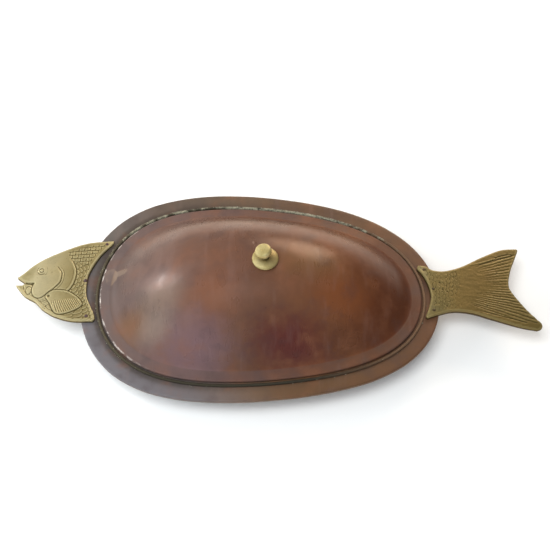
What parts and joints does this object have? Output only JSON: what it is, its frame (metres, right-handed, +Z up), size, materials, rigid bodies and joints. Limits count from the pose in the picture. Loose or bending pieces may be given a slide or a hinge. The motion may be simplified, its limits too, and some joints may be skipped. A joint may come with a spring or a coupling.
{
  "type": "lidded fish serving dish",
  "caption": "Oval copper serving dish with a lift-off domed lid, brass knob, and cast fish head and tail handles riveted to the flange.",
  "frame": {"origin": "middle of the pan's flat underside, at mid-length and mid-width of the pan", "axes": "+X from the fish's head to its tail, +Y to the fish's back, +Z up"},
  "size_m": [0.6141, 0.279, 0.1357],
  "materials": {
    "pan_copper": "aged hammer-planished copper, browned, worn satin",
    "lid_copper": "aged copper, browned and mottled, semi-gloss",
    "ring_copper": "copper ring with green verdigris crust",
    "cast_brass": "cast brass, dull, relief darkened in the hollows",
    "turned_brass": "turned brass, worn satin",
    "rivet_copper": "dark hammered copper",
    "steel_wire": "tinned iron wire, hidden in the rolled edge"
  },
  "bodies": {
    "dish": {"dish_pan": "pan_copper", "seat_ring": "ring_copper", "head_casting": "cast_brass", "tail_casting": "cast_brass", "head_rivet_upper": "rivet_copper", "head_rivet_middle": "rivet_copper", "head_rivet_lower": "rivet_copper", "tail_rivet_upper": "rivet_copper", "tail_rivet_middle": "rivet_copper", "tail_rivet_lower": "rivet_copper"},
    "lid": {"lid_shell": "lid_copper", "lid_edge_wire": "steel_wire", "knob_rose": "turned_brass", "knob_button": "turned_brass", "knob_stud": "turned_brass", "knob_washer": "turned_brass", "knob_nut": "turned_brass"}
  },
  "joints": [
    {"name": "lid_lift", "type": "slide", "parent": "dish", "child": "lid", "axis": [0, 0, 1], "range_m": [0, 0.18]}
  ]
}
